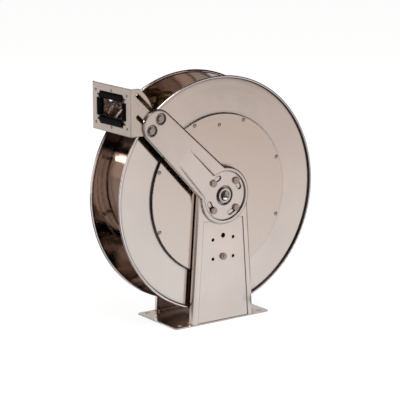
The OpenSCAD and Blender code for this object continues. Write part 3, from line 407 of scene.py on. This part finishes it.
blued_steel = dark_steel("blued_steel", (0.13, 0.14, 0.19), (0.05, 0.055, 0.085))
black_nylon = moulded_nylon("black_nylon", (0.004, 0.0025, 0.003), (0.035, 0.027, 0.026))
seal_rubber = soft_rubber("seal_rubber", (0.014, 0.014, 0.015), (0.07, 0.07, 0.07))

# Pieces with a finish of their own. The others take their material slot's.
FINISHES = {
    "base_plate": level_sheet,
    "front_pedestal": upright_sheet,
    "rear_pedestal": upright_sheet,
    "front_guide_arm": arm_sheet,
    "rear_guide_arm": arm_sheet,
    "guide_bracket": guide_sheet,
    "front_disc": disc_sheet,
    "rear_disc": disc_sheet,
    "drum": drum_sheet,
    "drum_rings": drum_sheet,
    "axle": port_steel,
}
SLOT_FINISHES = {
    "stainless_sheet": upright_sheet,
    "machined_steel": turned_steel,
    "bright_fasteners": fastener_steel,
    "dark_steel": oiled_steel,
    "black_nylon": black_nylon,
    "brass_parts": turned_brass,
    "bronze_bush": turned_bronze,
    "spring_steel": blued_steel,
    "seal_rubber": seal_rubber,
}


def finish_nodes():
    """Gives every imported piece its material."""
    for part in frame["record"]["subparts"]:
        name = part["node"]
        finish = FINISHES.get(name, SLOT_FINISHES[part["material_slot"]])
        for slot in nodes[name].material_slots:
            slot.material = finish


# ---- modelling ----

MERGE_WITHIN = 0.000005
SMOOTH_UNDER = math.radians(35)
THREAD_STEPS = 40
# A ridge's foot is the square root of 3 over this, in pitches, so that its turns stay apart
THREAD_GAP = 1.8
# A weld's ripples: how flat each lies, how far apart they are and how they lean
RIPPLE_FLAT = 0.62
RIPPLE_STEP = 0.62
RIPPLE_LEAN = 0.5
RIPPLE_CUT = 0.3


def start_piece():
    """Leaves nothing selected, so that the next operators act on the new piece alone."""
    bpy.ops.object.select_all(action="DESELECT")


def end_piece(name, body, finish):
    """Puts the piece's place in its mesh, closes it and hands it to its body."""
    piece = bpy.context.object
    bpy.ops.object.transform_apply(location=True, rotation=True, scale=True)
    bpy.ops.object.mode_set(mode="EDIT")
    bpy.ops.mesh.select_all(action="SELECT")
    bpy.ops.mesh.remove_doubles(threshold=MERGE_WITHIN)
    bpy.ops.mesh.normals_make_consistent(inside=False)
    bpy.ops.object.mode_set(mode="OBJECT")
    bpy.ops.object.shade_smooth_by_angle(angle=SMOOTH_UNDER)
    piece.name = name
    piece.data.materials.clear()
    piece.data.materials.append(finish)
    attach(piece, body)


def bore_thread(name, centre, radius, length, pitch, depth, axis, body, finish):
    """The ridge of a thread in a bore: a small triangle wound along the axis, closed at
    both its ends. depth is how far the ridge stands into the bore."""
    start_piece()
    bpy.ops.mesh.primitive_circle_add(vertices=3, radius=depth, fill_type="NGON")
    piece = bpy.context.object
    bpy.ops.object.mode_set(mode="EDIT")
    bpy.ops.mesh.select_all(action="SELECT")
    bpy.ops.transform.rotate(
        value=-math.pi / 2, orient_axis="Z", orient_type="GLOBAL", center_override=(0, 0, 0)
    )
    bpy.ops.transform.resize(value=(1, pitch / depth / THREAD_GAP, 1))
    bpy.ops.transform.translate(value=(radius, 0, 0))
    bpy.ops.mesh.delete(type="ONLY_FACE")
    bpy.ops.object.mode_set(mode="OBJECT")
    winding = piece.modifiers.new("winding", "SCREW")
    winding.axis = "Y"
    winding.angle = math.tau
    winding.screw_offset = pitch
    winding.iterations = max(1, int(length / pitch))
    winding.steps = THREAD_STEPS
    winding.render_steps = THREAD_STEPS
    bpy.ops.object.modifier_apply(modifier="winding")
    bpy.ops.object.mode_set(mode="EDIT")
    bpy.ops.mesh.select_all(action="SELECT")
    bpy.ops.mesh.fill_holes(sides=0)
    bpy.ops.object.mode_set(mode="OBJECT")
    piece.rotation_euler = (0, 0, math.pi / 2) if axis == "X" else (0, 0, 0)
    piece.location = centre
    end_piece(name, body, finish)


def weld_bead(name, start, end, radius, out, body, finish):
    """Overlapping ripples, laid from start to end in the corner that opens towards out."""
    run = Vector(end) - Vector(start)
    step = radius * RIPPLE_STEP
    start_piece()
    bpy.ops.mesh.primitive_uv_sphere_add(segments=14, ring_count=8, radius=radius)
    piece = bpy.context.object
    bpy.ops.object.mode_set(mode="EDIT")
    bpy.ops.mesh.select_all(action="SELECT")
    bpy.ops.transform.resize(value=(1, 1, RIPPLE_FLAT))
    bpy.ops.transform.rotate(
        value=RIPPLE_LEAN, orient_axis="X", orient_type="GLOBAL", center_override=(0, 0, 0)
    )
    bpy.ops.mesh.bisect(
        plane_co=(0, -radius * RIPPLE_CUT, 0), plane_no=(0, -1, 0),
        use_fill=True, clear_outer=True
    )
    bpy.ops.object.mode_set(mode="OBJECT")
    laid = piece.modifiers.new("laid", "ARRAY")
    laid.count = max(3, int(run.length / step))
    laid.use_relative_offset = False
    laid.use_constant_offset = True
    laid.constant_offset_displace = (0, 0, step)
    bpy.ops.object.modifier_apply(modifier="laid")
    along = run.normalized()
    upright = Vector(out) - along * along.dot(Vector(out))
    upright.normalize()
    turn = Matrix((upright.cross(along), upright, along)).transposed()
    piece.rotation_euler = turn.to_euler()
    piece.location = start
    end_piece(name, body, finish)


def make_threads():
    """Threads in the water inlet at the axle's front end, and in the outlet elbow."""
    inlet_pitch = 0.0022
    inlet_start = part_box("axle")[0][1] + inlet_pitch
    bore_thread(
        "inlet_thread", (axle.x, inlet_start, axle.z), radius=0.0125, length=0.016,
        pitch=inlet_pitch, depth=0.0007, axis="Y",
        body="stand", finish=port_steel,
    )
    outlet_low, outlet_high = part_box("outlet_elbow")
    outlet_start = outlet_low[0] + 0.012
    outlet_z = outlet_high[2] - (outlet_high[1] - outlet_low[1]) / 2
    bore_thread(
        "outlet_thread", (outlet_start, middle("outlet_elbow").y, outlet_z),
        radius=0.0085, length=0.010, pitch=0.0018, depth=0.0006, axis="X",
        body="spool", finish=turned_brass,
    )


def make_welds():
    """Beads where the turned-in feet meet the base plate, and along the drum's seam."""
    foot_inset, foot_bead = 0.012, 0.0018
    plate_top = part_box("base_plate")[1][2]
    for side, towards in (("front", 1), ("rear", -1)):
        low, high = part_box(side + "_pedestal")
        foot = high[1] if towards > 0 else low[1]
        weld_bead(
            side + "_foot_weld", (low[0] + foot_inset, foot, plate_top),
            (high[0] - foot_inset, foot, plate_top), foot_bead, (0, towards, 1),
            "stand", level_sheet
        )
    seam_inset, seam_bead = 0.004, 0.0014
    low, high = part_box("drum")
    seam_x = axle.x + (high[0] - low[0]) / 2
    weld_bead(
        "drum_seam", (seam_x, low[1] + seam_inset, axle.z),
        (seam_x, high[1] - seam_inset, axle.z), seam_bead, (1, 0, 0), "spool", drum_sheet
    )


# ---- studio ----

# What the floor looks like in a mirror: near the reel, farther right, and farthest right
NEAR = (0.99, 1.05, 1.09)
FAR = (0.75, 0.71, 0.685)
BEYOND = (0.34, 0.32, 0.31)
FAR_STARTS, FAR_FULL = 0.25, 1.5
BEYOND_STARTS, BEYOND_FULL = 2.15, 2.6

# Dark curtains that only mirrors see. Each has the way it hangs, how far round it starts
# and is closed, how far out it starts and is full, where it thins out and ends if it does,
# and how dark it is.
CURTAIN = (0.03, 0.022, 0.02)
FLOOR_CURTAINS = (
    ((-0.9986, 0.052, 0), (0.743, 0.866), (0.12, 0.3), (1.9, 3.0), 1.0),
    ((0.996, 0.087, 0), (0.80, 0.93), (0.35, 0.8), None, 1.0),
    ((0.56, 0.828, 0), (0.85, 0.95), (0.05, 0.1), (0.5, 1.2), 0.45),
    ((0.56, 0.828, 0), (0.85, 0.95), (1.8, 2.6), None, 0.35),
    ((-0.588, 0.809, 0), (0.88, 0.97), (0.3, 0.6), None, 0.38),
)
HIGH_CURTAIN = ((0.996, -0.087, 0), (0.766, 0.87), (0.1, 0.4), None, 1.0)
# A round dark patch on the floor by the base's front right that only mirrors see: a painted dark
# reflection.
DARK_SPOT = (0.205, -0.165, 0)
SPOT_EDGE, SPOT_FULL = 0.065, 0.04
CEILING_STARTS, CEILING_FULL, CEILING_DARK = 0.25, 0.36, 0.94

FLOOR_SIZE = 60
FLOOR_GLOW = 1.09
FLOOR_GLOW_SHARE = 0.78
ROOM_COLOUR, ROOM_STRENGTH = (1.0, 0.985, 0.965, 1), 0.62
WHITE = (1.0, 1.0, 1.0)

# Each lamp's name, place, width, height, watts, and whether bright metal mirrors it
SOFTBOXES = (
    ("key", (-0.55, -2.35, 3.5), 1.8, 1.8, 62, True),
    ("glint", (-1.73, 2.45, 1.33), 0.1, 0.4, 3, True),
    ("fill", (3.2, -1.8, 1.8), 2.6, 2.6, 30, False),
    ("back", (-0.7, 3.1, 2.5), 1.8, 1.8, 44, False),
)

CAMERA_PLACE = (-2.28325, -3.18316, 1.14762)
CAMERA_WAY = (0.56743, 0.79449, -0.21635)
CAMERA_LENS = 151.36


class WorldGraph(Graph):
    """The nodes of the world."""

    def __init__(self, world):
        world.use_nodes = True
        self.tree = world.node_tree


def rays(graph, kind):
    """1 for rays of one kind that come to the floor or the world, 0 for the others."""
    return graph.node("ShaderNodeLightPath", kind)


def seen_white(graph):
    """1 for rays that must find plain white: the camera's, reflections and views through."""
    seen = rays(graph, "Is Camera Ray").most(rays(graph, "Is Glossy Ray"))
    return seen.most(rays(graph, "Is Transmission Ray"))


def curtain(graph, place, way, turn, begins, ends, darkness):
    """How dark one of the curtains makes a place, from 0 to its darkness."""
    level = graph.product(place, (1, 1, 0))
    away = graph.node("ShaderNodeVectorMath", 0, {"operation": "NORMALIZE"}, {0: level})
    reach = graph.length(level)
    hung = graph.dot(away, way).between(*turn) * reach.between(*begins) * darkness
    return hung * (1 - reach.between(*ends)) if ends else hung


def make_floor():
    """White ground that keeps the reel's shadow."""
    g = Graph("floor")
    soft = g.noise(3.0, detail=2.0)
    g.feed(g.shader.inputs["Base Color"], g.blend(soft, (0.93, 0.93, 0.93), (0.91, 0.91, 0.91)))
    g.shader.inputs["Roughness"].default_value = 0.9
    g.shader.inputs["Specular IOR Level"].default_value = 0.0
    offset = g.node(
        "ShaderNodeVectorMath", "Value", {"operation": "DISTANCE"},
        {0: g.place(), 1: DARK_SPOT}
    )
    shade = offset.between(SPOT_EDGE, SPOT_FULL)
    for hung in FLOOR_CURTAINS:
        shade = shade.most(curtain(g, g.place(), *hung))
    glossy = rays(g, "Is Glossy Ray")
    right = g.part("X", g.place())
    mirrored = g.blend(right.between(FAR_STARTS, FAR_FULL), NEAR, FAR)
    mirrored = g.blend(right.between(BEYOND_STARTS, BEYOND_FULL), mirrored, BEYOND)
    light = g.blend(shade * glossy, g.blend(glossy, WHITE, mirrored), CURTAIN)
    glow = g.node("ShaderNodeEmission", 0, None, {"Color": light, "Strength": FLOOR_GLOW})
    surface = g.node(
        "ShaderNodeMixShader", 0, None,
        {0: seen_white(g) * FLOOR_GLOW_SHARE, 1: Value(g, g.shader.outputs[0]), 2: glow},
    )
    g.feed(g.tree.nodes["Material Output"].inputs["Surface"], surface)
    start_piece()
    bpy.ops.mesh.primitive_grid_add(x_subdivisions=8, y_subdivisions=8, size=FLOOR_SIZE)
    floor = bpy.context.object
    floor.name = "floor"
    floor.data.materials.append(g.material)


def make_world():
    """Plain light all round, with a dark ceiling and a curtain that only mirrors see."""
    world = bpy.data.worlds.new("studio")
    bpy.context.scene.world = world
    g = WorldGraph(world)
    way = g.node("ShaderNodeTexCoord", "Generated")
    ceiling = g.part("Z", way).between(CEILING_STARTS, CEILING_FULL) * CEILING_DARK
    shade = ceiling.most(curtain(g, way, *HIGH_CURTAIN)) * rays(g, "Is Glossy Ray")
    light = g.blend(shade, WHITE, CURTAIN)
    room = g.node(
        "ShaderNodeBackground", 0, None, {"Color": ROOM_COLOUR, "Strength": ROOM_STRENGTH}
    )
    white = g.node("ShaderNodeBackground", 0, None, {"Color": light, "Strength": 1.0})
    surface = g.node(
        "ShaderNodeMixShader", 0, None, {0: seen_white(g), 1: room, 2: white}
    )
    g.feed(g.tree.nodes["World Output"].inputs["Surface"], surface)


def softbox(name, place, width, height, watts, mirrored):
    """A lamp that faces the reel."""
    lamp = bpy.data.lights.new(name, "AREA")
    lamp.shape = "RECTANGLE"
    lamp.size = width
    lamp.size_y = height
    lamp.energy = watts
    stand = bpy.data.objects.new(name, lamp)
    bpy.context.scene.collection.objects.link(stand)
    stand.location = place
    stand.visible_glossy = mirrored
    aim = Vector((0, 0, axle.z)) - Vector(place)
    stand.rotation_mode = "QUATERNION"
    stand.rotation_quaternion = aim.to_track_quat("-Z", "Y")


def make_camera():
    view = bpy.data.cameras.new("camera")
    view.lens = CAMERA_LENS
    view.sensor_width = 36.0
    view.clip_end = 200.0
    camera = bpy.data.objects.new("camera", view)
    bpy.context.scene.collection.objects.link(camera)
    camera.location = CAMERA_PLACE
    camera.rotation_mode = "QUATERNION"
    camera.rotation_quaternion = Vector(CAMERA_WAY).to_track_quat("-Z", "Y")
    bpy.context.scene.camera = camera


make_camera()
finish_nodes()
make_threads()
make_welds()
make_floor()
make_world()
for lamp in SOFTBOXES:
    softbox(*lamp)
bpy.context.scene.view_settings.view_transform = "Standard"
